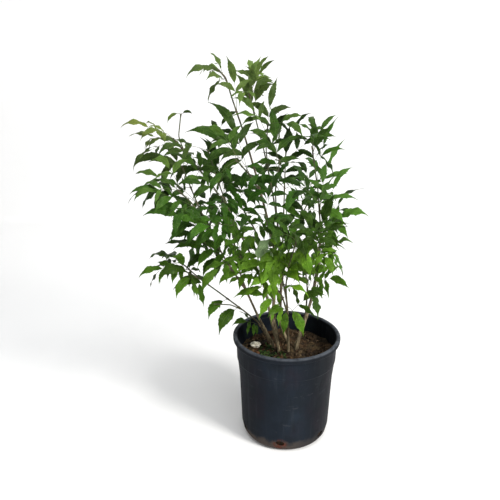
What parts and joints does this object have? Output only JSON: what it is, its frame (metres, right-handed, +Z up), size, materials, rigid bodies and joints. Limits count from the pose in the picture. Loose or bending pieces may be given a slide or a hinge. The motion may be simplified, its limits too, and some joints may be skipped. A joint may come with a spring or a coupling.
{
  "type": "potted shrub",
  "caption": "Bushy shrub with pinnate, toothed leaves on slender woody stems, growing in a round plastic nursery pot of soil.",
  "frame": {"origin": "middle of the pot's flat underside, on the surface that it stands on", "axes": "+Z up along the pot's axis; the plant is seen from -Y, with its long low branches towards -X"},
  "size_m": [0.5318, 0.4675, 0.8934],
  "materials": {
    "leaf": "satin",
    "pot_plastic": "satin",
    "soil": "matte",
    "stone": "matte"
  },
  "bodies": {
    "root": {"pot": "pot_plastic", "soil": "soil", "stone": "stone", "leafy_stem_low_left": "leaf", "leafy_stem_left": "leaf", "leafy_stem_upper_left": "leaf", "leafy_stem_top_left": "leaf", "leafy_stem_top": "leaf", "leafy_stem_right": "leaf", "leafy_stem_front": "leaf"}
  },
  "joints": []
}
